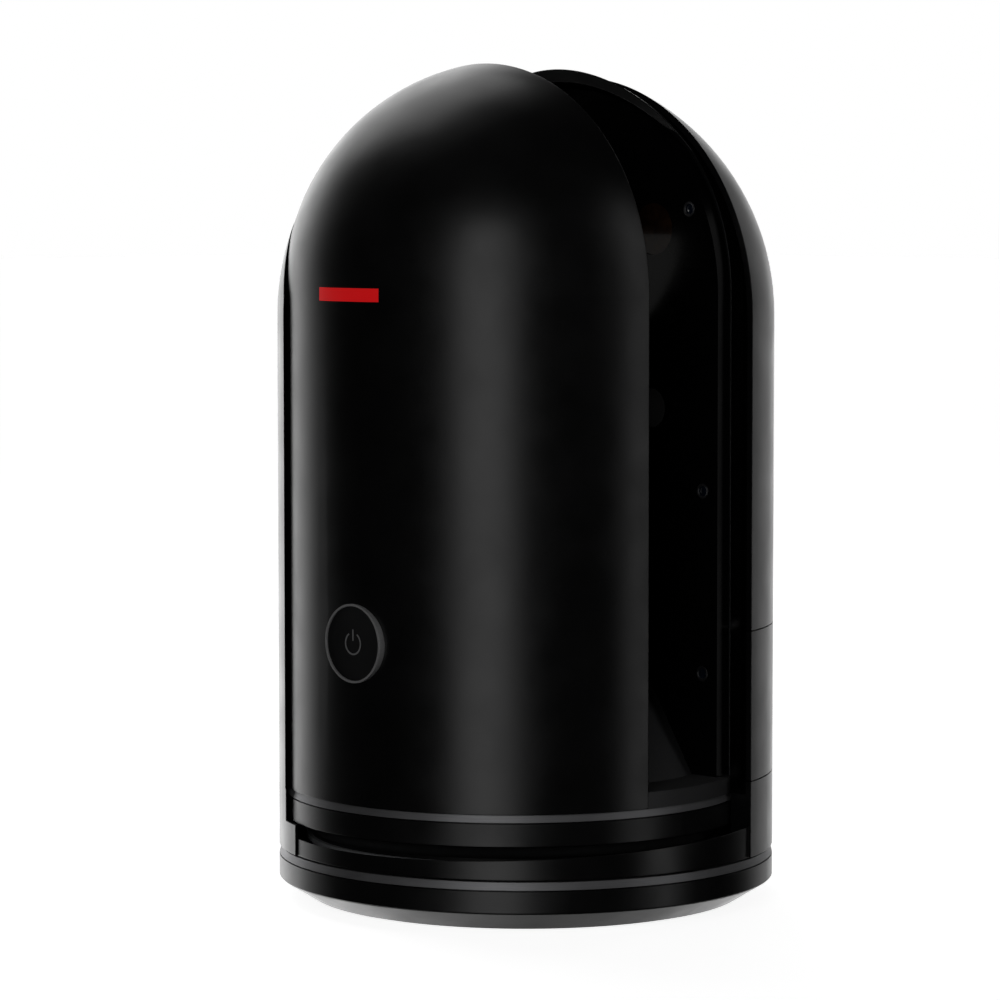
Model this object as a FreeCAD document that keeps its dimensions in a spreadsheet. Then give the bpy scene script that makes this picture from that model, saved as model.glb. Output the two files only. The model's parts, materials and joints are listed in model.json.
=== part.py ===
"""Terrestrial laser scanner: a capsule-shaped rotating head on a round base.

Frame: +Z up, origin at the centre of the underside, millimetres.
The front half (power button) faces -Y, the measuring slot runs along X and the
rear half (cameras, battery) faces +Y. The inner capsule stands nearer the front
than the outer shell, so that the two walls almost meet at the front.
"""
import FreeCAD, Part
import Sketcher
import math
import os
import re

doc = FreeCAD.newDocument("TerrestrialLaserScanner")
sheet = doc.addObject("Spreadsheet::Sheet", "Dimensions")

DIMENSIONS = [
    # outer envelope
    ("body_radius", 50.0),
    ("shell_centre_z", 117.4),
    ("wall", 2.0),
    ("shroud_wall", 1.3),
    ("capsule_radius", 46.0),
    ("capsule_y", -3.4),
    ("capsule_centre_z", 122.2),
    # base ring
    ("foot_radius", 43.7),
    ("foot_z", 0.4),
    ("foot_cone_z", 4.1),
    ("base_groove_z", 8.55),
    ("base_band_z", 8.8),
    ("base_top_z", 10.3),
    ("base_band_radius", 49.55),
    ("base_inner", 46.8),
    ("base_flange_radius", 34.0),
    ("base_flange_z", 3.0),
    ("plate_thick", 1.6),
    ("tread_inner", 38.6),
    ("tread_outer", 42.0),
    ("tread_thick", 1.2),
    # tripod bush, 5/8 inch survey thread
    ("thread_radius", 6.75),
    ("thread_depth", 9.6),
    ("bush_radius", 10.4),
    ("bush_top_z", 11.0),
    # azimuth drive
    ("race_inner", 13.5),
    ("race_outer", 16.0),
    ("race_rim", 19.0),
    ("race_z", 5.3),
    ("race_wide", 5.0),
    ("roller_radius", 1.2),
    ("roller_circle", 14.78),
    ("stator_inner", 20.6),
    ("stator_outer", 28.0),
    ("stator_high", 4.6),
    ("magnet_inner", 28.8),
    ("magnet_outer", 31.6),
    # turntable and upper ring
    ("head_z", 10.7),
    ("turntable_radius", 43.4),
    ("turntable_thick", 1.7),
    ("ring_inner", 37.0),
    ("ring_neck", 41.0),
    ("ring_screw_circle", 38.6),
    ("ring_cone_z", 13.9),
    ("ring_edge_z", 17.0),
    ("ring_groove_z", 21.35),
    ("ring_band_z", 21.6),
    ("ring_top_z", 23.1),
    ("ring_band_radius", 45.55),
    ("upper_band_inner", 42.0),
    ("groove_deep", 0.5),
    ("seat_z", 13.8),
    ("seat_slope", 0.65),
    ("seat_in", 6.0),
    ("seat_out", 12.0),
    ("skirt_radius", 49.6),
    ("skirt_inner", 43.5),
    # measuring slot
    ("slot_half", 12.1),
    ("floor_z", 26.3),
    ("hump_radius", 36.5),
    ("hump_top_radius", 12.0),
    ("hump_high", 41.5),
    ("window_radius", 41.1),
    ("window_rim", 41.85),
    ("window_centre_z", 121.65),
    ("window_thick", 2.6),
    ("shell_edge_y", 14.9),
    ("shroud_gap_y", 31.0),
    ("chassis_thick", 1.9),
    ("visor_low_z", 150.0),
    ("visor_root", 41.9),
    ("visor_mouth", 42.95),
    ("shell_left_x", -24.4),
    ("skirt_left_x", -18.3),
    ("seam", 0.5),
    ("rib", 2.2),
    ("pocket", 46.15),
    # mirror and its drive
    ("mirror_z", 120.0),
    ("drum_radius", 17.0),
    ("drum_half", 11.5),
    ("mirror_thick", 1.4),
    ("shaft_radius", 3.0),
    ("shaft_gap", 0.05),
    ("lens_radius", 11.0),
    ("module_radius", 12.5),
    # cameras and sensors behind the window
    ("camera_x", 37.0),
    ("camera_lens", 1.6),
    ("camera_low_z", 46.6),
    ("camera_mid_z", 82.9),
    ("camera_high_x", 33.2),
    ("camera_high_z", 138.6),
    ("thermal_x", 23.6),
    ("thermal_z", 134.6),
    ("thermal_radius", 5.2),
    ("flash_x", 23.0),
    ("flash_z", 98.9),
    ("flash_radius", 4.0),
    # power button
    ("button_x", 1.9),
    ("button_z", 54.8),
    ("button_radius", 7.2),
    ("bezel_radius", 7.7),
    ("bezel_y", -49.8),
    # battery bay and door
    ("door_low_z", 25.7),
    ("door_high_z", 55.8),
    ("door_start_angle", 12.0),
    ("door_rear_angle", 120.0),
    ("door_gap", 0.25),
    ("hinge_angle", 122.0),
    ("hinge_radius", 48.6),
    ("knuckle_radius", 1.3),
    ("pin_radius", 0.6),
    ("battery_x", 23.0),
    ("battery_wide", 15.5),
    ("battery_high", 24.0),
    ("battery_y", 17.5),
    ("battery_z", 28.8),
    ("hatch_x", 25.5),
]

for row, (alias, value) in enumerate(DIMENSIONS, start=1):
    sheet.set("A%d" % row, alias)
    sheet.set("B%d" % row, str(value))
    sheet.setAlias("B%d" % row, alias)
doc.recompute()

DIM = dict(DIMENSIONS)
NODES = []
LEAD_TURN = 48.5
VISOR_LEAN = 20.6  # degrees the visor's front leans forward from vertical
AXIS_TURN = {
    "Z": FreeCAD.Rotation(),
    "Y": FreeCAD.Rotation(FreeCAD.Vector(1, 0, 0), -90),
}


# ---------------------------------------------------------------- helpers

def formula(text):
    """Turn alias names into references to the sheet."""
    def cell(match):
        word = match.group(0)
        return "Dimensions." + word if word in DIM else word
    return re.sub(r"[a-z][a-z_]*", cell, str(text))


def bind(obj, **sizes):
    for prop, text in sizes.items():
        obj.setExpression(prop, formula(text))


def place(obj, at, axis="Z", turn=None):
    """Put obj at three formulas, turned so that its own Z runs along axis."""
    obj.Placement.Rotation = turn or AXIS_TURN[axis]
    for name, text in zip("xyz", at):
        obj.setExpression("Placement.Base." + name, formula(text))
    return obj


def cylinder(name, radius, height, at=(0, 0, 0), axis="Z"):
    obj = doc.addObject("Part::Cylinder", name)
    bind(obj, Radius=radius, Height=height)
    return place(obj, at, axis)


def cone(name, low_radius, high_radius, height, at=(0, 0, 0), axis="Z"):
    obj = doc.addObject("Part::Cone", name)
    bind(obj, Radius1=low_radius, Radius2=high_radius, Height=height)
    return place(obj, at, axis)


def sphere(name, radius, at=(0, 0, 0)):
    obj = doc.addObject("Part::Sphere", name)
    bind(obj, Radius=radius)
    return place(obj, at)


def box(name, size, at, turn=None):
    obj = doc.addObject("Part::Box", name)
    bind(obj, Length=size[0], Width=size[1], Height=size[2])
    return place(obj, at, turn=turn)


def fuse(name, *pieces):
    obj = doc.addObject("Part::MultiFuse", name)
    obj.Shapes = list(pieces)
    return obj


def common(name, *pieces):
    obj = doc.addObject("Part::MultiCommon", name)
    obj.Shapes = list(pieces)
    return obj


def cut(name, base, *tools):
    tool = tools[0] if len(tools) == 1 else fuse(name + "_tools", *tools)
    obj = doc.addObject("Part::Cut", name)
    obj.Base = base
    obj.Tool = tool
    return obj


def tube(name, outer, inner, height, at=(0, 0, 0), axis="Z"):
    return cut(name, cylinder(name + "_outer", outer, height, at, axis),
               cylinder(name + "_bore", inner, height, at, axis))


def capsule(name, radius, centre_z, low_z, y=0):
    """Round-topped column: a cylinder from low_z with a sphere on top."""
    column = cylinder(name + "_column", radius, "%s - (%s)" % (centre_z, low_z), (0, y, low_z))
    return fuse(name, column, sphere(name + "_dome", radius, (0, y, centre_z)))


def lathe(name, points, y=0):
    """PartDesign body turned about Z from (radius, height) formulas."""
    body = doc.addObject("PartDesign::Body", name)
    sketch = body.newObject("Sketcher::SketchObject", name + "_profile")
    plane = [f for f in body.Origin.OriginFeatures if f.Role == "XZ_Plane"][0]
    sketch.AttachmentSupport = [(plane, "")]
    sketch.MapMode = "FlatFace"
    values = [(eval_formula(r), eval_formula(z)) for r, z in points]
    count = len(points)
    for i in range(count):
        a, b = values[i], values[(i + 1) % count]
        sketch.addGeometry(Part.LineSegment(FreeCAD.Vector(a[0], a[1], 0),
                                            FreeCAD.Vector(b[0], b[1], 0)), False)
    for i in range(count):
        sketch.addConstraint(Sketcher.Constraint("Coincident", i, 2, (i + 1) % count, 1))
    for i, (radius, height) in enumerate(points):
        for kind, value, text in (("DistanceX", values[i][0], radius),
                                  ("DistanceY", values[i][1], height)):
            number = sketch.addConstraint(Sketcher.Constraint(kind, -1, 1, i, 1, value))
            sketch.setExpression("Constraints[%d]" % number, formula(text))
    turned = body.newObject("PartDesign::Revolution", name + "_turned")
    turned.Profile = sketch
    turned.ReferenceAxis = (sketch, ["V_Axis"])
    turned.Angle = 360
    body.setExpression("Placement.Base.y", formula(y))
    return body


def eval_formula(text):
    """Value of a formula, for a sketch's starting geometry."""
    total = re.sub(r"[a-z][a-z_]*", lambda m: repr(DIM[m.group(0)]), str(text))
    value = 0.0
    for sign, number in re.findall(r"([+-]?)\s*([0-9.]+)", total):
        value += -float(number) if sign == "-" else float(number)
    return value


def node(obj, label):
    obj.Label = label
    NODES.append(obj)
    return obj


def ring_of(count, radius, start=0.0):
    for i in range(count):
        angle = math.radians(start + 360.0 * i / count)
        yield i, radius * math.cos(angle), radius * math.sin(angle)


# ---------------------------------------------------------------- fixed base

def base_screw_holes(name, radius, low, height, count=6, circle=36.2):
    return [cylinder("%s_%d" % (name, i), radius, height, (x, y, low))
            for i, x, y in ring_of(count, circle)]


def make_base_ring():
    """Tapered foot, plain face and groove, with an inner flange."""
    ring = lathe("base_ring_body", [
        ("base_flange_radius", "tread_thick"), ("tread_outer", "tread_thick"),
        ("tread_outer", "foot_z"), ("foot_radius", "foot_z"),
        ("body_radius - 0.3", "foot_cone_z"), ("body_radius", "foot_cone_z + 0.3"),
        ("body_radius", "base_groove_z"), ("body_radius - groove_deep", "base_groove_z"),
        ("body_radius - groove_deep", "base_band_z"), ("base_inner", "base_band_z"),
        ("base_inner", "base_flange_z + 2.2"), ("tread_outer + 2", "base_flange_z"),
        ("base_flange_radius", "base_flange_z")])
    holes = base_screw_holes("base_ring_hole", 1.3, 0, 6)
    sinks = base_screw_holes("base_ring_sink", 1.95, 0, 2)
    return node(cut("base_ring_cut", ring, *(holes + sinks)), "base_ring")


def make_bands():
    """Bright chamfered bands on top of the base ring and of the upper ring."""
    node(lathe("base_band_body", [
        ("base_inner", "base_band_z"), ("body_radius - 0.05", "base_band_z"),
        ("base_band_radius", "base_top_z"), ("base_inner", "base_top_z")]), "base_band")
    node(lathe("upper_band_body", [
        ("upper_band_inner", "ring_band_z"), ("capsule_radius - 0.05", "ring_band_z"),
        ("ring_band_radius", "ring_top_z"), ("upper_band_inner", "ring_top_z")],
        "capsule_y"), "upper_band")


def make_base_plate():
    plate = cylinder("base_plate_disc", "tread_outer + 1.5", "plate_thick",
                     (0, 0, "base_flange_z"))
    bore = cylinder("base_plate_bore", "bush_radius", 6, (0, 0, 0))
    holes = base_screw_holes("base_plate_hole", 1.25, 0, 6)
    return node(cut("base_plate_cut", plate, bore, *holes), "base_plate")


def make_base_screws():
    """Six countersunk screws, held as one set."""
    pieces = base_screw_holes("base_screw_shank", 1.25, "foot_z + 1.6", 2.6)
    for i, head in enumerate(base_screw_holes("base_screw_head", 1.9, "foot_z + 0.9", 0.7)):
        x, y = head.Placement.Base.x, head.Placement.Base.y
        socket = cylinder("base_screw_socket_%d" % i, 0.8, 0.5, (x, y, "foot_z + 0.9"))
        pieces.append(cut("base_screw_driven_%d" % i, head, socket))
    return node(fuse("base_screws_set", *pieces), "base_screws")


def make_base_tread():
    return node(tube("base_tread_ring", "tread_outer", "tread_inner", "tread_thick"),
                "base_tread")


def make_tripod_bush():
    """Flanged brass bush with a blind 5/8 inch survey thread."""
    barrel = cylinder("tripod_bush_barrel", "bush_radius", "bush_top_z - foot_z",
                      (0, 0, "foot_z"))
    flange = cylinder("tripod_bush_flange", "bush_radius + 4", "base_flange_z - 1.4", (0, 0, 1.4))
    bore = cylinder("tripod_bush_thread", "thread_radius", "thread_depth", (0, 0, "foot_z"))
    mouth = cone("tripod_bush_mouth", "thread_radius + 0.8", "thread_radius", 0.8,
                 (0, 0, "foot_z"))
    return node(cut("tripod_bush_cut", fuse("tripod_bush_solid", barrel, flange), bore, mouth),
                "tripod_bush")


def make_azimuth_drive():
    """Bearing, motor and angle encoder that turn the head on the base."""
    node(tube("azimuth_inner_race_ring", "race_inner", "bush_radius", "race_wide",
              (0, 0, "race_z")), "azimuth_inner_race")
    node(tube("azimuth_outer_race_ring", "race_rim", "race_outer", "race_wide",
              (0, 0, "race_z")), "azimuth_outer_race")
    rollers = [cylinder("azimuth_roller_%d" % i, "roller_radius", 3,
                        (x, y, "race_z + race_wide / 2 - 1.5"))
               for i, x, y in ring_of(24, DIM["roller_circle"])]
    cage = tube("azimuth_cage", "roller_circle + 0.35", "roller_circle - 0.35", 1.2,
                (0, 0, "race_z + race_wide / 2 - 0.6"))
    node(fuse("azimuth_rollers_set", cage, *rollers), "azimuth_rollers")
    plate_top = "base_flange_z + plate_thick"
    core = tube("azimuth_stator_core", "stator_outer", "stator_inner", "stator_high - 1",
                (0, 0, plate_top + " + 0.5"))
    yoke = tube("azimuth_stator_yoke", "stator_inner + 2", "stator_inner", "stator_high",
                (0, 0, plate_top))
    gaps = [cylinder("azimuth_stator_slot_%d" % i, 1.1, 9, (x, y, 4))
            for i, x, y in ring_of(12, 25.6, 15)]
    node(cut("azimuth_stator_cut", fuse("azimuth_stator_solid", core, yoke), *gaps),
         "azimuth_stator")
    node(tube("azimuth_magnets_ring", "magnet_outer", "magnet_inner",
              "head_z - (%s) - 0.8" % plate_top, (0, 0, plate_top + " + 0.8")),
         "azimuth_magnets")
    node(tube("azimuth_encoder_ring", 40, 34, 0.6, (0, 0, "head_z - 0.6")),
         "azimuth_encoder_disc")
    node(box("azimuth_reader_block", (5, 8, "head_z - 0.6 - 0.6 - (%s)" % plate_top),
             (34.2, -4, plate_top)), "azimuth_encoder_reader")


# ---------------------------------------------------------------- head floor

def ring_screws(name, radius, low, height):
    """Six cylinders on the upper ring's own screw circle."""
    return [cylinder("%s_%d" % (name, i), radius, height, (x, "%g + capsule_y" % y, low))
            for i, x, y in ring_of(6, DIM["ring_screw_circle"])]


def make_turntable():
    """Head floor with the hub that grips the bearing's outer race."""
    disc = cylinder("turntable_disc", "turntable_radius", "turntable_thick", (0, 0, "head_z"))
    hub = cylinder("turntable_hub", "race_rim + 0.9", "head_z - race_z", (0, 0, "race_z"))
    bore = cylinder("turntable_race_seat", "race_rim", "head_z - race_z", (0, 0, "race_z"))
    eye = cylinder("turntable_eye", "race_outer", 9, (0, 0, "race_z"))
    holes = ring_screws("turntable_hole", 1.15, "head_z", 6)
    return node(cut("turntable_cut", fuse("turntable_solid", disc, hub), bore, eye, *holes),
                "turntable")


def make_turntable_screws():
    return node(fuse("turntable_screws_set",
                     *ring_screws("turntable_screw", 1.1, "head_z + 0.1", 4.6)),
                "turntable_screws")


def make_upper_ring():
    """Ring under the capsule; it repeats the base ring's outline."""
    ring = lathe("upper_ring_body", [
        ("ring_inner", "head_z + turntable_thick"), ("ring_neck", "head_z + turntable_thick"),
        ("ring_neck", "ring_cone_z"), ("capsule_radius - 0.25", "ring_edge_z - 0.25"),
        ("capsule_radius", "ring_edge_z"), ("capsule_radius", "ring_groove_z"),
        ("capsule_radius - groove_deep", "ring_groove_z"),
        ("capsule_radius - groove_deep", "ring_band_z"), ("upper_band_inner", "ring_band_z"),
        ("upper_band_inner", "ring_top_z"), ("ring_inner", "ring_top_z")], "capsule_y")
    holes = ring_screws("upper_ring_hole", 1.1, "head_z", 4.7)
    return node(cut("upper_ring_cut", ring, *holes), "upper_ring")


def make_light_ring():
    """Light guide that glows in the shadow gap under the upper ring."""
    return node(tube("status_light_tube", "ring_neck + 1", "ring_neck", 0.8,
                     (0, "capsule_y", "head_z + turntable_thick")), "status_light_ring")


def seat_cone(name):
    """The space above the conical seat around the capsule's axis."""
    return cone(name, "capsule_radius - seat_in", "capsule_radius + seat_out",
                "seat_slope * (seat_in + seat_out)",
                (0, "capsule_y", "seat_z - seat_slope * seat_in"))


def make_front_skirt():
    """Low front wall below the shadow gap, on the outer radius."""
    wall = tube("front_skirt_wall", "skirt_radius", "skirt_inner", 9, (0, 0, "head_z"))
    seat = seat_cone("front_skirt_seat")
    back = box("front_skirt_back", (140, 70, 20), (-70, "shell_edge_y - 0.02", 5))
    left = box("front_skirt_left", (60, 90, 20), ("skirt_left_x + seam - 60", -60, 5))
    return node(cut("front_skirt_cut", wall, seat, back, left), "front_skirt")


# ---------------------------------------------------------------- outer shell

def side_box(name, x_low, x_high, y_low, y_high, z_low, z_high):
    size = ("%s - (%s)" % (x_high, x_low), "%s - (%s)" % (y_high, y_low),
            "%s - (%s)" % (z_high, z_low))
    return box(name, size, (x_low, y_low, z_low))


def door_sector(name, start, end, inner, outer, low, high):
    """Part of a tube wall between two angles and two heights."""
    obj = doc.addObject("Part::Cylinder", name + "_block")
    bind(obj, Radius=outer, Height="%s - (%s)" % (high, low), Angle="%s - (%s)" % (end, start))
    place(obj, (0, 0, low), turn=FreeCAD.Rotation(FreeCAD.Vector(0, 0, 1), eval_formula(start)))
    return cut(name, obj, cylinder(name + "_inside", inner, 200, (0, 0, 0)))


def hinge_centre():
    angle = math.radians(DIM["hinge_angle"])
    return DIM["hinge_radius"] * math.cos(angle), DIM["hinge_radius"] * math.sin(angle)


def shroud_blank(name):
    """Outer skin with the capsule's pocket, its conical seat and the turntable recess cut out."""
    skin = capsule(name + "_skin", "body_radius", "shell_centre_z", "head_z")
    pocket = capsule(name + "_pocket", "pocket", "capsule_centre_z", "seat_z - 0.1", "capsule_y")
    seat = common(name + "_seat", seat_cone(name + "_seat_bowl"),
                  cylinder(name + "_seat_limit", "pocket", 30, (0, "capsule_y", 5)))
    core = cylinder(name + "_core", "skirt_inner", 6, (0, 0, "head_z - 1"))
    return cut(name + "_blank", skin, pocket, seat, core)


def shroud_lead():
    """Space in front of the capsule's left side, so its outline stands free of the shroud."""
    depth = 60
    block = side_box("shroud_lead_block", "0 - pocket", "pocket", 0 - depth, "0",
                     "ring_edge_z - 0.3", "capsule_centre_z")
    arch = cylinder("shroud_lead_arch", "pocket", depth, (0, 0 - depth, "capsule_centre_z"), "Y")
    turn = FreeCAD.Rotation(FreeCAD.Vector(0, 0, 1), LEAD_TURN)
    return place(fuse("shroud_lead", block, arch), (0, "capsule_y", 0), turn=turn)


def make_side_shroud():
    """Outer wall on the left of the front half and under the slot's left end."""
    right = side_box("side_shroud_right", "shell_left_x", "80", "-80", "shell_edge_y",
                     "ring_top_z", "200")
    right_low = side_box("side_shroud_right_low", "skirt_left_x", "80", "-80", "shell_edge_y",
                         "0", "ring_top_z")
    slot = side_box("side_shroud_slot", "-80", "0", "0 - slot_half", "shell_edge_y",
                    "floor_z", "200")
    behind = side_box("side_shroud_behind", "-80", "80", "shell_edge_y", "80", "0", "200")
    hollow = common("side_shroud_hollow",
                    capsule("side_shroud_hollow_skin", "body_radius - wall", "shell_centre_z",
                            "head_z"),
                    side_box("side_shroud_hollow_zone", "-80", "shell_left_x - rib", "-80",
                             "0 - slot_half - rib", "head_z + turntable_thick", "200"))
    return node(cut("side_shroud_cut", shroud_blank("side_shroud"), right, right_low, slot,
                    behind, hollow, shroud_lead()), "side_shroud")


def make_rear_shell():
    """Outer shroud around the back, with the battery opening.

    Its thin front edges stand clear of the inner capsule. Behind shroud_gap_y it
    is solid down to the capsule.
    """
    ahead = side_box("rear_shell_ahead", "-80", "80", "-80", "shell_edge_y", "0", "200")
    gap = common("rear_shell_gap",
                 capsule("rear_shell_gap_skin", "body_radius - shroud_wall", "shell_centre_z",
                         "ring_top_z"),
                 side_box("rear_shell_gap_zone", "-80", "80", "shell_edge_y - 1",
                          "shroud_gap_y", "ring_top_z", "200"))
    door_hole = door_sector("rear_shell_door_hole", "door_start_angle - 2", "hinge_angle + 2.6",
                            "body_radius - shroud_wall - 0.4", "body_radius + 2",
                            "door_low_z", "door_high_z")
    hinge_hole = door_sector("rear_shell_hinge_hole", "hinge_angle - 4", "hinge_angle + 2.6",
                             "hinge_radius - 2", "body_radius + 2", "door_low_z", "door_high_z")
    hatch = side_box("rear_shell_hatch", "0 - hatch_x", "hatch_x", "shroud_gap_y - 2", "60",
                     "door_low_z + 1.3", "door_high_z - 1.3")
    shell = cut("rear_shell_cut", shroud_blank("rear_shell"), ahead, gap, door_hole,
                hinge_hole, hatch)
    x, y = hinge_centre()
    knuckles = []
    for name, low, high in (("low", "door_low_z", "door_low_z + 9"),
                            ("high", "door_high_z - 9", "door_high_z")):
        barrel = cylinder("shell_knuckle_" + name, "knuckle_radius", "%s - (%s)" % (high, low),
                          (x, y, low))
        web = door_sector("shell_knuckle_web_" + name, "hinge_angle + 0.2", "hinge_angle + 3",
                          "hinge_radius - 0.9", "hinge_radius + 0.6", low, high)
        knuckles += [barrel, web]
    bore = cylinder("shell_knuckle_bore", "pin_radius", 34, (x, y, "door_low_z + 0.4"))
    return node(cut("rear_shell_bored", fuse("rear_shell_solid", shell, *knuckles), bore),
                "rear_shell")


def make_battery_door():
    """Curved door on a vertical pin; its free edge is flush with the shroud's edge."""
    panel = door_sector("battery_door_panel", "door_start_angle", "door_rear_angle",
                        "body_radius - shroud_wall", "body_radius", "door_low_z + door_gap",
                        "door_high_z - door_gap")
    front = side_box("battery_door_front", "0", "80", "0", "shell_edge_y", "0", "80")
    x, y = hinge_centre()
    low = "door_low_z + 9.3"
    high = "door_high_z - 9.3"
    barrel = cylinder("battery_door_barrel", "knuckle_radius", "%s - (%s)" % (high, low),
                      (x, y, low))
    web = door_sector("battery_door_web", "door_rear_angle - 1", "hinge_angle - 0.2",
                      "hinge_radius - 0.6", "hinge_radius + 0.9", low, high)
    bore = cylinder("battery_door_bore", "pin_radius + shaft_gap", 40, (x, y, 20))
    catch = door_sector("battery_door_catch", "door_start_angle + 9", "door_start_angle + 13",
                        "body_radius - shroud_wall - 0.8", "body_radius - shroud_wall + 0.1",
                        36, 45)
    solid = fuse("battery_door_solid", panel, barrel, web, catch)
    return node(cut("battery_door_cut", solid, bore, front), "battery_door")


def make_hinge_pin():
    x, y = hinge_centre()
    return node(cylinder("battery_hinge_pin_rod", "pin_radius", "door_high_z - door_low_z - 0.8",
                         (x, y, "door_low_z + 0.4")), "battery_hinge_pin")


# ---------------------------------------------------------------- inner capsule

def make_front_shell():
    """Front half of the capsule, closed at the slot by its own rim."""
    skin = capsule("front_shell_skin", "capsule_radius", "capsule_centre_z", "ring_top_z",
                   "capsule_y")
    inside = capsule("front_shell_inside", "capsule_radius - wall", "capsule_centre_z",
                     "ring_top_z - 1", "capsule_y")
    behind = side_box("front_shell_behind", "-80", "80", "0 - slot_half", "80", "0", "200")
    hole = cylinder("front_shell_button_hole", "bezel_radius", 12,
                    ("button_x", -52, "button_z"), "Y")
    return node(cut("front_shell_cut", skin, inside, behind, hole), "front_shell")


def make_rear_capsule():
    """Rear half of the capsule, with the battery hatch and a visor over the window."""
    skin = capsule("rear_capsule_skin", "capsule_radius", "capsule_centre_z", "ring_top_z",
                   "capsule_y")
    inside = capsule("rear_capsule_inside", "capsule_radius - wall", "capsule_centre_z",
                     "ring_top_z - 1", "capsule_y")
    back_y = "slot_half + window_thick"
    ahead = side_box("rear_capsule_ahead", "-80", "80", "-80", back_y, "0", "200")
    hatch = side_box("rear_capsule_hatch", "0 - hatch_x", "hatch_x", "shroud_gap_y - 2", "60",
                     "door_low_z + 1.3", "door_high_z - 1.3")
    wall = cut("rear_capsule_wall", skin, inside, ahead, hatch)
    dome = sphere("visor_dome", "capsule_radius", (0, "capsule_y", "capsule_centre_z"))
    lean = FreeCAD.Rotation(FreeCAD.Vector(1, 0, 0), VISOR_LEAN)
    brow = box("visor_brow", (140, 30, 40), (-70, back_y, "visor_low_z"), lean)
    front = side_box("visor_front", "-80", "80", "0", back_y + " + 0.05", "0", "200")
    mouth = cone("visor_mouth_cone", "visor_mouth", "visor_root", "9.7",
                 (0, back_y + " + 0.1 - 9.7", "window_centre_z"), "Y")
    visor = cut("visor_cut", common("visor_block", dome, brow, front), mouth)
    return node(fuse("rear_capsule_solid", wall, visor), "rear_capsule")


def make_slot_wall():
    """Glossy front wall of the slot, set just inside the shell's rim."""
    fill = capsule("slot_wall_fill", "capsule_radius - wall", "capsule_centre_z", "floor_z",
                   "capsule_y")
    slab = side_box("slot_wall_slab", "-80", "80", "0 - slot_half - 2", "0 - slot_half - 0.3",
                    "0", "200")
    shaft = cylinder("slot_wall_shaft_hole", 5, 10, (0, -18, "mirror_z"), "Y")
    return node(cut("slot_wall_cut", common("slot_wall_plate", fill, slab), shaft), "slot_wall")


def make_slot_floor():
    column = cylinder("slot_floor_column", "capsule_radius", "floor_z - ring_top_z",
                      (0, "capsule_y", "ring_top_z"))
    zone = side_box("slot_floor_zone", "-80", "80", "0 - slot_half",
                    "slot_half + window_thick", "ring_top_z", "floor_z")
    lug = side_box("slot_floor_front_lug", "-36", "36", "0 - slot_half - 2", "0 - slot_half",
                   "ring_top_z", "floor_z")
    return node(fuse("slot_floor_solid", common("slot_floor_plate", column, zone), lug),
                "slot_floor")


def make_slot_hump():
    """Cone in the middle of the slot floor, inside the beam's blind angle."""
    hump = cone("slot_hump_cone", "hump_radius", "hump_top_radius", "hump_high",
                (0, 0, "floor_z"))
    zone = side_box("slot_hump_zone", "-80", "80", "0 - slot_half", "slot_half", "floor_z", "120")
    return node(common("slot_hump_solid", hump, zone), "slot_hump")


def window_ports():
    """Name, x, z and radius of every opening in the window."""
    return [("lens", 0, "mirror_z", "lens_radius"),
            ("camera_low", "camera_x", "camera_low_z", "camera_lens"),
            ("camera_mid", "camera_x", "camera_mid_z", "camera_lens"),
            ("camera_high", "camera_high_x", "camera_high_z", "camera_lens"),
            ("thermal", "thermal_x", "thermal_z", "thermal_radius"),
            ("flash", "flash_x", "flash_z", "flash_radius")]


def make_window():
    """Glossy rear wall of the slot with a bevelled edge."""
    arch = cone("window_arch", "window_radius", "window_rim", "window_thick",
                (0, "slot_half", "window_centre_z"), "Y")
    sides = doc.addObject("Part::Wedge", "window_sides")
    bind(sides, Xmin="0 - window_radius", Xmax="window_radius", Ymin=0, Ymax="window_thick",
         X2min="0 - window_rim", X2max="window_rim", Zmin="0", Zmax="window_centre_z - floor_z",
         Z2min="0", Z2max="window_centre_z - floor_z")
    place(sides, (0, "slot_half", "floor_z"))
    low = box("window_low", (160, 20, 40), (-80, 5, "floor_z - 40"))
    ports = [cylinder("window_port_" + name, radius, 10, (x, 8, z), "Y")
             for name, x, z, radius in window_ports()]
    return node(cut("window_cut", fuse("window_solid", arch, sides), low, *ports), "window")


def make_ports():
    """Lens windows that fill the openings."""
    labels = {"lens": "laser_lens", "camera_low": "camera_lens_low",
              "camera_mid": "camera_lens_mid", "camera_high": "camera_lens_high",
              "thermal": "thermal_lens"}
    for name, x, z, radius in window_ports()[:-1]:
        disc = cylinder("port_disc_" + name, radius, "window_thick - 0.3",
                        (x, "slot_half + 0.3", z), "Y")
        node(disc, labels[name])


def make_chassis():
    """Upright frame plate behind the window; every rear module bolts to it."""
    fill = capsule("chassis_fill", "capsule_radius - wall - 0.1", "capsule_centre_z", "floor_z",
                   "capsule_y")
    slab = side_box("chassis_slab", "-80", "80", "slot_half + window_thick",
                    "slot_half + window_thick + chassis_thick", "0", "200")
    eye = cylinder("chassis_lens_eye", "lens_radius", 10, (0, 10, "mirror_z"), "Y")
    holes = [cylinder("chassis_hole_" + name, "%s + 0.1" % radius, 10, (x, 10, z), "Y")
             for name, x, z, radius in window_ports()[1:]]
    return node(cut("chassis_cut", common("chassis_plate", fill, slab), eye, *holes), "chassis")


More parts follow.
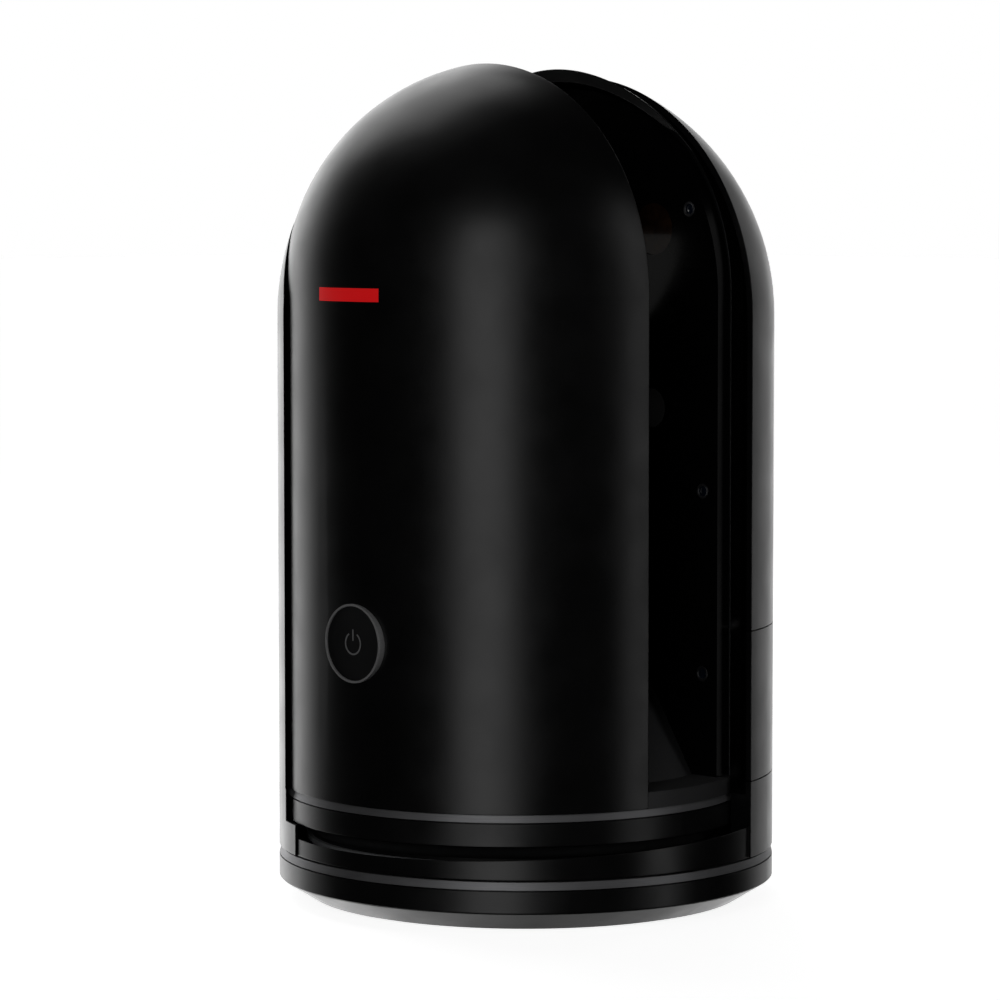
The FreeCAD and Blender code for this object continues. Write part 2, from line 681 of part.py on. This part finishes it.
def make_rear_modules():
    """Sensors behind the window and the boards on the back of the chassis."""
    y_front = "slot_half + window_thick"
    y_back = "slot_half + window_thick + chassis_thick"
    for name, x, z, radius in window_ports()[1:]:
        barrel = cylinder("module_barrel_" + name, radius, "chassis_thick", (x, y_front, z), "Y")
        socket = cylinder("module_socket_" + name, "%s / 2" % radius, 1, (x, y_back, z), "Y")
        pieces = [barrel, socket]
        if name == "flash":
            pieces.append(cylinder("flash_window", radius, "window_thick - 0.3",
                                   (x, "slot_half + 0.3", z), "Y"))
        node(fuse("module_solid_" + name, *pieces), name + "_module")
    tube_body = cylinder("distance_tube", "module_radius", 18, (0, y_back, "mirror_z"), "Y")
    nose = cylinder("distance_nose", "lens_radius", "chassis_thick", (0, y_front, "mirror_z"), "Y")
    cap = cylinder("distance_cap", 8, 3, (0, y_back + " + 18", "mirror_z"), "Y")
    node(fuse("distance_module_solid", tube_body, nose, cap), "distance_module")
    node(side_box("power_board_plate", "-27", "27", y_back, y_back + " + 1.6", "60", "92"),
         "power_board")
    board = side_box("sensor_board_plate", "-10", "10", y_back, y_back + " + 1.6", "136", "153")
    level = side_box("sensor_board_level", "-6", "6", y_back + " + 1.6", y_back + " + 5",
                     "138", "146")
    node(fuse("sensor_board_solid", board, level), "sensor_board")


def make_battery():
    """Battery, and its tray with the contact block; it slides out to the rear."""
    y_back = "slot_half + window_thick + chassis_thick"
    y_end = "battery_y + battery_wide"
    node(side_box("battery_block", "0 - battery_x", "battery_x", "battery_y", y_end,
                  "battery_z", "battery_z + battery_high"), "battery_pack")
    tray_low = side_box("battery_tray_floor", "0 - battery_x", "battery_x", y_back, y_end,
                        "floor_z", "battery_z")
    tray_back = side_box("battery_tray_back", "0 - battery_x", "battery_x", y_back, "battery_y",
                         "battery_z + 13", "battery_z + battery_high")
    feet = side_box("battery_tray_feet", "-22", "22", y_back, "32", "ring_top_z", "floor_z")
    post = side_box("battery_tray_post", "0 - battery_x", "-12", y_back, "battery_y",
                    "battery_z", "battery_z + 13")
    contacts = side_box("battery_tray_contacts", "-11", "11", y_back, "battery_y", "battery_z",
                        "battery_z + 12")
    node(fuse("battery_tray_solid", tray_low, tray_back, feet, post, contacts), "battery_tray")


# ---------------------------------------------------------------- mirror

def make_mirror():
    """Spinning drum with a mirror face at 45 degrees, on a shaft along Y."""
    drum = cylinder("mirror_drum_round", "drum_radius", "2 * drum_half",
                    (0, "0 - drum_half", "mirror_z"), "Y")
    tilt = FreeCAD.Rotation(FreeCAD.Vector(1, 0, 0), -45)
    face = box("mirror_face_cut", (80, 80, 60), (-40, "0 - 40 * 0.70710678", 0), tilt)
    face.setExpression("Placement.Base.z", formula("mirror_z + 40 * 0.70710678"))
    body = cut("mirror_drum_solid", drum, face)
    shaft_hole = cylinder("mirror_drum_hole", "shaft_radius", 6,
                          (0, "0 - drum_half - 1", "mirror_z"), "Y")
    node(cut("mirror_drum_cut", body, shaft_hole), "mirror_drum")
    plate = box("mirror_plate", (80, 80, "mirror_thick"), (-40, "0 - 40 * 0.70710678", 0), tilt)
    plate.setExpression("Placement.Base.z", formula("mirror_z + 40 * 0.70710678"))
    rim = cylinder("mirror_rim", "drum_radius - 1", "2 * drum_half - 0.6",
                   (0, "0 - drum_half + 0.3", "mirror_z"), "Y")
    node(common("mirror_glass_disc", plate, rim), "mirror_glass")
    node(cylinder("mirror_shaft_rod", "shaft_radius", "35 - drum_half + 5",
                  (0, -35, "mirror_z"), "Y"), "mirror_shaft")


def make_mirror_drive():
    """Bearings, motor and encoder behind the slot's front wall."""
    for label, y in (("mirror_bearing_front", -17.5), ("mirror_bearing_rear", -31.0)):
        node(tube(label + "_ring", 7, "shaft_radius + shaft_gap", 3, (0, y, "mirror_z"), "Y"),
             label)
    node(tube("mirror_rotor_ring", 8.2, "shaft_radius", 9, (0, -27.5, "mirror_z"), "Y"),
         "mirror_rotor")
    node(tube("mirror_stator_ring", 15, 9, 9, (0, -27.5, "mirror_z"), "Y"), "mirror_stator")
    can = tube("mirror_can", 16.5, 15, "31 - slot_half - 2", (0, -31, "mirror_z"), "Y")
    end = tube("mirror_can_end", 16.5, 7, 3, (0, -31, "mirror_z"), "Y")
    face = tube("mirror_can_face", 16.5, 7, "17.5 - slot_half - 2", (0, -17.5, "mirror_z"), "Y")
    node(fuse("mirror_can_solid", can, end, face), "mirror_motor_can")
    node(tube("mirror_code_ring", 12, "shaft_radius", 0.8, (0, -34.4, "mirror_z"), "Y"),
         "mirror_encoder_disc")
    node(side_box("mirror_reader_block", "-4", "4", "-33.0", "-31", "mirror_z + 8",
                  "mirror_z + 15"), "mirror_encoder_reader")


# ---------------------------------------------------------------- front inside

def make_main_board():
    plate = side_box("main_board_plate", "-32", "32", "-24.1", "-22.5", "34", "96")
    posts = [side_box("main_board_post_%d" % i, "%g" % (x - 2), "%g" % (x + 2), "-22.5",
                      "0 - slot_half - 2", "%g" % (z - 2), "%g" % (z + 2))
             for i, (x, z) in enumerate(((-29, 38), (29, 38), (-29, 92), (29, 92)))]
    chips = [side_box("main_board_chip_%d" % i, "%g" % (x - w), "%g" % (x + w), "-26.1", "-24.1",
                      "%g" % (z - w), "%g" % (z + w))
             for i, (x, z, w) in enumerate(((0, 66, 8), (-18, 52, 4), (18, 80, 4)))]
    return node(fuse("main_board_solid", plate, *(posts + chips)), "main_board")


def make_button():
    """Sprung power button in a raised ring, with its switch on a small board."""
    spot = ("button_x", "bezel_y", "button_z")
    ring = tube("button_bezel_ring", "bezel_radius", "button_radius + 0.06", 3.6, spot, "Y")
    node(ring, "button_bezel")
    face = cylinder("power_button_face", "button_radius", 3.9,
                    ("button_x", "bezel_y + 0.25", "button_z"), "Y")
    lip = cylinder("power_button_lip", "button_radius + 0.8", 0.8,
                   ("button_x", "bezel_y + 3.95", "button_z"), "Y")
    stem = cylinder("power_button_stem", 1.8, 1.6,
                    ("button_x", "bezel_y + 4.7", "button_z"), "Y")
    node(fuse("power_button_solid", face, lip, stem), "power_button")
    node(tube("button_spring_coil", 6.2, 5.0, 3.6, ("button_x", "bezel_y + 4.75", "button_z"), "Y"),
         "button_spring")
    switch = cylinder("button_switch_block", 4.4, 2.0, ("button_x", "bezel_y + 7.4", "button_z"),
                      "Y")
    fill = capsule("button_board_fill", "capsule_radius - wall", "capsule_centre_z", "ring_top_z",
                   "capsule_y")
    slab = side_box("button_board_slab", "-60", "60", "bezel_y + 9.4", "bezel_y + 11.0",
                    "button_z - 10", "button_z + 10")
    node(fuse("button_board_solid", common("button_board_plate", fill, slab), switch),
         "button_board")


# ---------------------------------------------------------------- build and write

make_base_ring()
make_bands()
make_base_plate()
make_base_screws()
make_base_tread()
make_tripod_bush()
make_azimuth_drive()
make_turntable()
make_turntable_screws()
make_upper_ring()
make_light_ring()
make_front_skirt()
make_side_shroud()
make_rear_shell()
make_battery_door()
make_hinge_pin()
make_front_shell()
make_rear_capsule()
make_slot_wall()
make_slot_floor()
make_slot_hump()
make_window()
make_ports()
make_chassis()
make_rear_modules()
make_battery()
make_mirror()
make_mirror_drive()
make_main_board()
make_button()
doc.recompute()

for obj in doc.Objects:
    if "Invalid" in obj.State or "Error" in obj.State:
        raise RuntimeError("%s failed: %s" % (obj.Name, obj.State))
for obj in NODES:
    if obj.Shape.isNull() or not obj.Shape.isValid():
        raise RuntimeError("%s has no valid shape" % obj.Label)

os.makedirs("parts", exist_ok=True)
for obj in NODES:
    obj.Shape.exportStep(os.path.join("parts", obj.Label + ".step"))
    print("%-24s solids %d  volume %10.1f" % (obj.Label, len(obj.Shape.Solids), obj.Shape.Volume))
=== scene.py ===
import json
import math

import bpy
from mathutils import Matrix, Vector


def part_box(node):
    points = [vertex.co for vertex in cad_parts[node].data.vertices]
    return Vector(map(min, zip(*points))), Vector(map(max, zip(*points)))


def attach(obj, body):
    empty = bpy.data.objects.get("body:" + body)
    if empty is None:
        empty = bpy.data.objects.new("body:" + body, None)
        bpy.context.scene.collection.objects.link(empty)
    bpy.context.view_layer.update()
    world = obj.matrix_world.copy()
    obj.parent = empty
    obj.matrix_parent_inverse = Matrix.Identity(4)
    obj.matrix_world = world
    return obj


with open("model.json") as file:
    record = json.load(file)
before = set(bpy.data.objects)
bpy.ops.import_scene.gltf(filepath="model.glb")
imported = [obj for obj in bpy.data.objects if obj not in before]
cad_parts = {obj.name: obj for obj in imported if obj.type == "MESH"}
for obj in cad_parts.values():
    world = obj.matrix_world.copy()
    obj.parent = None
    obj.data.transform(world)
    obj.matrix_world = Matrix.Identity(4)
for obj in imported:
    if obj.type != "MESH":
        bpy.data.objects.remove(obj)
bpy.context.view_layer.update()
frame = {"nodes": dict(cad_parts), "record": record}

MM = 0.001
NODES = frame["nodes"]

# Patterns and printed marks, in millimetres
CLOUD_MM = 9.0
LENS_CLOUD_MM = 2.5
FLOOR_CLOUD_MM = 300.0
PRINT_HEIGHT_MM = 0.03
SYMBOL_RADIUS_MM = 2.1
SYMBOL_STROKE_MM = 0.32
SYMBOL_GAP_DEGREES = 32
SYMBOL_STEPS = 40
RED_BAR_HALF_MM = 8.4
RED_BAR_STROKE_MM = 2.6
RED_BAR_STEPS = 24

# Bezel and dome of a camera lens: fractions of its radius, and millimetres of height
BEZEL_PROFILE = ((0.62, 0.02), (0.70, 0.22), (0.92, 0.22), (0.99, 0.02))
DOME_ANGLES = (0.0, 0.3, 0.6, 0.9, 1.2, math.pi / 2)
DOME_REACH = 0.60
DOME_RISE = 0.25
DOME_TOP_MM = 0.15

# Studio: degrees from the camera, metres, and the glow's strength behind the object
GLOW_TURN = -166
GLOW_ELEVATION = -8
GLOW_RANGE = (("From Min", 0.60), ("From Max", 1.0), ("To Min", 0.006), ("To Max", 2.7))
FLOOR_HALF = 6.0
FLOOR_GLOW = 0.90

# Camera: degrees, metres and fractions of the frame
CAMERA_AZIMUTH = 44.6
CAMERA_ELEVATION = 4.07
CAMERA_DISTANCE = 0.811
CAMERA_LENS = 144.5
CAMERA_SHIFT = (-0.0258, -0.0256)
AIM = Vector((0, 0, 0.085))


# ------------------------------------------------------------ shader helpers

class Shader:
    """A material with one Principled shader and short calls to add nodes."""

    def __init__(self, name):
        self.material = bpy.data.materials.new(name)
        self.material.use_nodes = True
        self.tree = self.material.node_tree
        self.main = self.tree.nodes["Principled BSDF"]
        self.where = self.node("TexCoord").outputs["Object"]

    def node(self, kind, **values):
        made = self.tree.nodes.new("ShaderNode" + kind)
        for key, value in values.items():
            setattr(made, key, value)
        return made

    def link(self, output, target):
        self.tree.links.new(output, target)

    def set(self, **values):
        """Uniform values go straight onto the shader's sockets."""
        for key, value in values.items():
            self.main.inputs[key.replace("_", " ")].default_value = value

    def noise(self, size_mm, detail=3.0, stretch=(1, 1, 1)):
        """Noise whose features are about size_mm across, stretched along an axis."""
        mapping = self.node("Mapping")
        mapping.inputs["Scale"].default_value = [1 / s for s in stretch]
        self.link(self.where, mapping.inputs["Vector"])
        noise = self.node("TexNoise")
        noise.inputs["Scale"].default_value = 1 / (size_mm * MM)
        noise.inputs["Detail"].default_value = detail
        self.link(mapping.outputs["Vector"], noise.inputs["Vector"])
        return noise.outputs["Fac"]

    def spread(self, value, low, high, start=0.3, end=0.7):
        """Map a 0..1 pattern onto a range."""
        ranged = self.node("MapRange")
        ranged.inputs["From Min"].default_value = start
        ranged.inputs["From Max"].default_value = end
        ranged.inputs["To Min"].default_value = low
        ranged.inputs["To Max"].default_value = high
        self.link(value, ranged.inputs["Value"])
        return ranged.outputs["Result"]

    def colours(self, value, dark, light):
        """Vary the base colour between two colours."""
        mix = self.node("Mix", data_type="RGBA")
        mix.inputs["A"].default_value = (*dark, 1)
        mix.inputs["B"].default_value = (*light, 1)
        self.link(self.spread(value, 0, 1), mix.inputs["Factor"])
        self.link(mix.outputs["Result"], self.main.inputs["Base Color"])

    def mixed(self, first, second):
        """Half of one pattern and half of another."""
        mix = self.node("Math", operation="MULTIPLY_ADD")
        mix.inputs[1].default_value = 0.5
        half = self.node("Math", operation="MULTIPLY")
        half.inputs[1].default_value = 0.5
        self.link(second, half.inputs[0])
        self.link(first, mix.inputs[0])
        self.link(half.outputs[0], mix.inputs[2])
        return mix.outputs[0]

    def rough(self, value, low, high):
        """Vary the roughness between two values."""
        self.link(self.spread(value, low, high), self.main.inputs["Roughness"])

    def bump(self, value, height_mm, edge_mm=0.0):
        """Fine relief, over edges rounded by edge_mm."""
        bump = self.node("Bump")
        bump.inputs["Distance"].default_value = height_mm * MM
        self.link(value, bump.inputs["Height"])
        if edge_mm:
            bevel = self.node("Bevel", samples=4)
            bevel.inputs["Radius"].default_value = edge_mm * MM
            self.link(bevel.outputs["Normal"], bump.inputs["Normal"])
        self.link(bump.outputs["Normal"], self.main.inputs["Normal"])


def grained(name, dark, light, rough, grain_mm, relief_mm, edge_mm=0.2,
            stretch=(1, 1, 1), **values):
    """A coated or moulded surface: cloudy colour, fine grain and uneven gloss."""
    shader = Shader(name)
    cloud = shader.noise(CLOUD_MM)
    grain = shader.noise(grain_mm, 2.0, stretch)
    shader.colours(shader.mixed(cloud, grain), dark, light)
    shader.rough(cloud, *rough)
    shader.bump(grain, relief_mm, edge_mm)
    shader.set(**values)
    return shader.material


# ------------------------------------------------------------ materials by slot

def shell_coat():
    return grained("shell_coat", (0.0035, 0.0035, 0.0038), (0.0070, 0.0070, 0.0074),
                   (0.30, 0.36), 0.30, 0.006, 0.25, Specular_IOR_Level=0.5)


def ring_coat():
    return grained("ring_coat", (0.0035, 0.0035, 0.0038), (0.0075, 0.0075, 0.0080),
                   (0.32, 0.40), 0.28, 0.005, 0.2, (1, 1, 0.4), Specular_IOR_Level=0.5)


def bright_band():
    return grained("bright_band", (0.24, 0.24, 0.25), (0.34, 0.34, 0.35),
                   (0.42, 0.52), 0.30, 0.004, 0.1, (20, 20, 0.3), Metallic=0.6)


def gloss_panel():
    return grained("gloss_panel", (0.0015, 0.0015, 0.0017), (0.0030, 0.0030, 0.0033),
                   (0.14, 0.20), 3.0, 0.002, 0.0, Specular_IOR_Level=0.06)


def floor_coat():
    return grained("floor_coat", (0.055, 0.055, 0.057), (0.075, 0.075, 0.078),
                   (0.46, 0.56), 0.35, 0.010, 0.0)


def coated_glass(name, inner, outer, rough=(0.03, 0.07), coat=0.5):
    """Lens glass: a coating whose tint changes slightly from place to place."""
    shader = Shader(name)
    cloud = shader.noise(LENS_CLOUD_MM)
    shader.colours(cloud, inner, outer)
    shader.rough(cloud, *rough)
    shader.bump(cloud, 0.002, 0.15)
    shader.set(Coat_Weight=coat, Coat_Roughness=0.04, Specular_IOR_Level=coat)
    return shader.material


def lens_glass():
    return coated_glass("lens_glass", (0.004, 0.006, 0.012), (0.010, 0.016, 0.030))


def thermal_glass():
    return coated_glass("thermal_glass", (0.012, 0.004, 0.003), (0.040, 0.018, 0.008),
                        (0.10, 0.16), 0.05)


def mirror_face():
    return grained("mirror_face", (0.86, 0.86, 0.84), (0.93, 0.93, 0.91),
                   (0.02, 0.05), 4.0, 0.001, 0.0, Metallic=1.0)


def drum_metal():
    return grained("drum_metal", (0.018, 0.018, 0.020), (0.040, 0.040, 0.043),
                   (0.32, 0.42), 0.30, 0.006, 0.2, (1, 8, 1), Metallic=0.4)


def steel():
    return grained("steel", (0.42, 0.42, 0.43), (0.60, 0.60, 0.61),
                   (0.22, 0.34), 0.25, 0.003, 0.1, (1, 1, 6), Metallic=1.0)


def screw_steel():
    return grained("screw_steel", (0.12, 0.12, 0.125), (0.24, 0.24, 0.25),
                   (0.30, 0.42), 0.20, 0.004, 0.1, Metallic=1.0)


def plate_metal():
    return grained("plate_metal", (0.055, 0.055, 0.058), (0.085, 0.085, 0.09),
                   (0.38, 0.50), 0.30, 0.006, 0.2, (6, 1, 1), Metallic=0.7)


def brass():
    return grained("brass", (0.50, 0.36, 0.15), (0.68, 0.52, 0.26),
                   (0.24, 0.36), 0.30, 0.004, 0.15, (12, 12, 0.4), Metallic=1.0)


def tread_rubber():
    return grained("tread_rubber", (0.014, 0.014, 0.014), (0.030, 0.030, 0.030),
                   (0.68, 0.82), 0.40, 0.030, 0.2)


def motor_iron():
    return grained("motor_iron", (0.060, 0.045, 0.035), (0.13, 0.10, 0.08),
                   (0.45, 0.60), 0.30, 0.010, 0.1, (4, 4, 0.5), Metallic=0.6)


def code_disc():
    return grained("code_disc", (0.36, 0.36, 0.38), (0.58, 0.58, 0.60),
                   (0.10, 0.20), 0.40, 0.001, 0.0, Metallic=1.0)


def board_green():
    return grained("board_green", (0.010, 0.055, 0.026), (0.025, 0.110, 0.050),
                   (0.30, 0.42), 1.2, 0.010, 0.1, Specular_IOR_Level=0.6)


def module_black():
    return grained("module_black", (0.014, 0.014, 0.015), (0.030, 0.030, 0.032),
                   (0.48, 0.60), 0.30, 0.012, 0.15)


def battery_case():
    return grained("battery_case", (0.024, 0.024, 0.026), (0.042, 0.042, 0.045),
                   (0.50, 0.62), 0.40, 0.015, 0.25)


def tray_plastic():
    return grained("tray_plastic", (0.040, 0.040, 0.042), (0.065, 0.065, 0.068),
                   (0.50, 0.60), 0.40, 0.012, 0.2)


def button_face():
    return grained("button_face", (0.009, 0.009, 0.010), (0.016, 0.016, 0.017),
                   (0.38, 0.46), 0.25, 0.006, 0.15)


def button_ring():
    return grained("button_ring", (0.40, 0.40, 0.405), (0.52, 0.52, 0.525),
                   (0.34, 0.44), 0.20, 0.003, 0.1, (1, 6, 1), Metallic=0.2)


def light_guide():
    return grained("light_guide", (0.30, 0.31, 0.32), (0.42, 0.43, 0.44),
                   (0.40, 0.52), 0.50, 0.005, 0.1)


BUILDERS = (shell_coat, ring_coat, bright_band, gloss_panel, floor_coat, lens_glass,
            thermal_glass, mirror_face, drum_metal, steel, screw_steel, plate_metal, brass,
            tread_rubber, motor_iron, code_disc, board_green, module_black, battery_case,
            tray_plastic, button_face, button_ring, light_guide)
FINISH = {builder.__name__: builder() for builder in BUILDERS}


def dress(obj, material):
    """Give an object one material in every slot."""
    if not obj.material_slots:
        obj.data.materials.append(material)
    for entry in obj.material_slots:
        entry.material = material


def dress_nodes():
    """Give every CAD node the finish of its slot in the record."""
    for part in frame["record"]["subparts"]:
        dress(NODES[part["node"]], FINISH[part["material_slot"]])


# ------------------------------------------------------------ mesh helpers

def piece(name, verts, faces, material, body, smooth=True):
    """A new visible piece that rides on a body and takes a slot's finish."""
    mesh = bpy.data.meshes.new(name)
    mesh.from_pydata([tuple(v) for v in verts], [], faces)
    mesh.update()
    if smooth:
        mesh.shade_smooth()
    obj = bpy.data.objects.new(name, mesh)
    bpy.context.collection.objects.link(obj)
    dress(obj, material)
    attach(obj, body)
    return obj


def ribbon(points, width, place, height):
    """Flat strip along 2-D points, laid on a surface by place(u, v, height)."""
    verts, faces = [], []
    count = len(points)
    for i, point in enumerate(points):
        after = points[min(i + 1, count - 1)]
        before = points[max(i - 1, 0)]
        along = (Vector(after) - Vector(before)).normalized()
        side = Vector((-along.y, along.x)) * width / 2
        for offset, level in ((side, 0), (side, height), (-side, height), (-side, 0)):
            spot = Vector(point) + offset
            verts.append(place(spot.x, spot.y, level))
    for i in range(count - 1):
        a, b = 4 * i, 4 * (i + 1)
        for j in range(4):
            faces.append((a + j, a + (j + 1) % 4, b + (j + 1) % 4, b + j))
    faces.append((0, 1, 2, 3))
    end = 4 * (count - 1)
    faces.append((end + 3, end + 2, end + 1, end))
    return verts, faces


def lathe(profile, centre, axis, segments=64):
    """Turn (radius, height) points about an axis through centre."""
    axis = Vector(axis)
    side = axis.orthogonal().normalized()
    other = axis.cross(side)
    verts, faces = [], []
    for i in range(segments):
        angle = 2 * math.pi * i / segments
        out = side * math.cos(angle) + other * math.sin(angle)
        verts += [centre + out * radius + axis * height for radius, height in profile]
    count = len(profile)
    for i in range(segments):
        a, b = i * count, (i + 1) % segments * count
        faces += [(a + j, a + j + 1, b + j + 1, b + j) for j in range(count - 1)]
    return verts, faces


# ------------------------------------------------------------ added detail

def add_power_symbol():
    """Fine grey arc and bar printed on the button."""
    low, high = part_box("power_button")
    centre = (Vector(low) + Vector(high)) / 2
    face_y = low[1]
    radius, stroke = SYMBOL_RADIUS_MM * MM, SYMBOL_STROKE_MM * MM
    height = PRINT_HEIGHT_MM * MM
    lean = math.radians(SYMBOL_GAP_DEGREES)

    def place(u, v, level):
        return Vector((centre.x + u, face_y - level, centre.z + v))

    sweep = 2 * math.pi - 2 * lean
    turn = [lean + sweep * i / SYMBOL_STEPS for i in range(SYMBOL_STEPS + 1)]
    arc = [(radius * math.sin(a), radius * math.cos(a)) for a in turn]
    bar = [(0, radius * 0.25), (0, radius * 1.3)]
    shader = grained("symbol_print", (0.30, 0.30, 0.305), (0.38, 0.38, 0.385),
                     (0.4, 0.5), 0.2, 0.002, 0.0)
    for label, line in (("power_symbol_arc", arc), ("power_symbol_bar", bar)):
        verts, faces = ribbon(line, stroke, place, height)
        piece(label, verts, faces, shader, "power_button", smooth=False)


def add_red_bar():
    """Plain red printed bar on the front, with a weak painted glow so that it reads as bright.
    """
    low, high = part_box("front_shell")
    radius = (high[0] - low[0]) / 2
    axis_y = low[1] + radius
    mid_z = high[2] - radius
    half, stroke = RED_BAR_HALF_MM * MM, RED_BAR_STROKE_MM * MM
    height = PRINT_HEIGHT_MM * MM

    def place(u, v, level):
        angle = u / radius
        rise = max(v, 0) ** 2 / (2 * radius)
        out = radius + level - rise
        return Vector((out * math.sin(angle), axis_y - out * math.cos(angle), mid_z + v))

    line = [(-half + 2 * half * i / RED_BAR_STEPS, 0) for i in range(RED_BAR_STEPS + 1)]
    verts, faces = ribbon(line, stroke, place, height)
    # Painted glow: the red print gets a weak emission so that it reads bright, though a printed
    # mark gives no light.
    shader = grained("red_print_painted_glow", (0.88, 0.008, 0.010), (0.96, 0.014, 0.016),
                     (0.35, 0.45), 0.3, 0.002, 0.0,
                     Emission_Color=(0.8, 0.01, 0.012, 1), Emission_Strength=0.35)
    piece("red_bar", verts, faces, shader, "head", smooth=False)


def add_lens_rings():
    """Metal bezel and a domed front element on each camera behind the window."""
    front = (0, -1, 0)
    for label in ("camera_lens_low", "camera_lens_mid", "camera_lens_high"):
        low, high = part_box(label)
        centre = Vector(((low[0] + high[0]) / 2, low[1], (low[2] + high[2]) / 2))
        radius = (high[0] - low[0]) / 2
        ring = [(radius * reach, height * MM) for reach, height in BEZEL_PROFILE]
        verts, faces = lathe(ring, centre, front)
        piece(label + "_bezel", verts, faces, FINISH["drum_metal"], "head")
        dome = [(radius * DOME_REACH * math.sin(a),
                 DOME_TOP_MM * MM + radius * DOME_RISE * (math.cos(a) - 1)) for a in DOME_ANGLES]
        verts, faces = lathe(dome, centre, front)
        piece(label + "_dome", verts, faces, FINISH["lens_glass"], "head")


# ------------------------------------------------------------ stage, lights, camera

def direction(azimuth, elevation):
    """Unit vector from the object towards a viewer at azimuth and elevation."""
    a, e = math.radians(azimuth), math.radians(elevation)
    return Vector((math.sin(a) * math.cos(e), -math.cos(a) * math.cos(e), math.sin(e)))


def add_floor():
    """Pale paper floor that the object neither reflects nor takes light from."""
    half = FLOOR_HALF
    corners = [(-half, -half, 0), (half, -half, 0), (half, half, 0), (-half, half, 0)]
    mesh = bpy.data.meshes.new("floor")
    mesh.from_pydata(corners, [], [(0, 1, 2, 3)])
    floor = bpy.data.objects.new("floor", mesh)
    bpy.context.collection.objects.link(floor)
    shader = Shader("floor_paper")
    cloud = shader.noise(FLOOR_CLOUD_MM)
    shader.colours(cloud, (0.93, 0.93, 0.93), (0.95, 0.95, 0.95))
    shader.rough(cloud, 0.85, 0.95)
    shader.set(Specular_IOR_Level=0.1, Emission_Color=(1, 1, 1, 1),
               Emission_Strength=FLOOR_GLOW)
    dress(floor, shader.material)
    floor.visible_diffuse = False
    floor.visible_glossy = False


def add_soft_box(name, turn, elevation, distance, width, height, power):
    """Area light at an angle from the camera, aimed at the middle of the object."""
    light = bpy.data.lights.new(name, "AREA")
    light.shape = "RECTANGLE"
    light.size = width
    light.size_y = height
    light.energy = power
    lamp = bpy.data.objects.new(name, light)
    towards = direction(CAMERA_AZIMUTH + turn, elevation)
    lamp.location = AIM + towards * distance
    lamp.rotation_euler = towards.to_track_quat("Z", "Y").to_euler()
    lamp.visible_camera = False
    bpy.context.collection.objects.link(lamp)


def add_world():
    """White to the camera; to the object, bright behind and dark in front."""
    world = bpy.data.worlds.new("studio")
    world.use_nodes = True
    bpy.context.scene.world = world
    tree = world.node_tree
    tree.nodes.clear()
    new = tree.nodes.new
    where = new("ShaderNodeTexCoord")
    dot = new("ShaderNodeVectorMath")
    dot.operation = "DOT_PRODUCT"
    dot.inputs[1].default_value = direction(CAMERA_AZIMUTH + GLOW_TURN, GLOW_ELEVATION)
    tree.links.new(where.outputs["Generated"], dot.inputs[0])
    glow = new("ShaderNodeMapRange")
    glow.interpolation_type = "SMOOTHSTEP"
    for label, value in GLOW_RANGE:
        glow.inputs[label].default_value = value
    tree.links.new(dot.outputs["Value"], glow.inputs["Value"])
    studio = new("ShaderNodeBackground")
    tree.links.new(glow.outputs["Result"], studio.inputs["Strength"])
    paper = new("ShaderNodeBackground")
    paper.inputs["Color"].default_value = (1, 1, 1, 1)
    path = new("ShaderNodeLightPath")
    mix = new("ShaderNodeMixShader")
    tree.links.new(path.outputs["Is Camera Ray"], mix.inputs["Fac"])
    tree.links.new(studio.outputs["Background"], mix.inputs[1])
    tree.links.new(paper.outputs["Background"], mix.inputs[2])
    out = new("ShaderNodeOutputWorld")
    tree.links.new(mix.outputs["Shader"], out.inputs["Surface"])


def add_lights():
    """Front highlight, two narrow side lights and a weak top light."""
    add_soft_box("front_box", -14, 2, 0.9, 0.42, 1.2, 2.0)
    add_soft_box("right_box", 64, 4, 0.9, 0.16, 1.2, 0.7)
    add_soft_box("rim_box", 136, 4, 0.9, 0.22, 1.2, 0.5)
    add_soft_box("top_box", -150, 50, 0.8, 0.5, 0.5, 0.9)


def add_camera():
    camera = bpy.data.cameras.new("camera")
    camera.lens = CAMERA_LENS
    camera.sensor_width = 36.0
    camera.shift_x, camera.shift_y = CAMERA_SHIFT
    seen = bpy.data.objects.new("camera", camera)
    back = direction(CAMERA_AZIMUTH, CAMERA_ELEVATION)
    seen.location = AIM + back * CAMERA_DISTANCE
    seen.rotation_euler = back.to_track_quat("Z", "Y").to_euler()
    bpy.context.collection.objects.link(seen)
    bpy.context.scene.camera = seen


def set_look():
    """Plain view transform, so that colours show as they are set."""
    view = bpy.context.scene.view_settings
    view.view_transform = "Standard"
    view.look = "None"


dress_nodes()
add_power_symbol()
add_red_bar()
add_lens_rings()
add_floor()
add_world()
add_lights()
add_camera()
set_look()
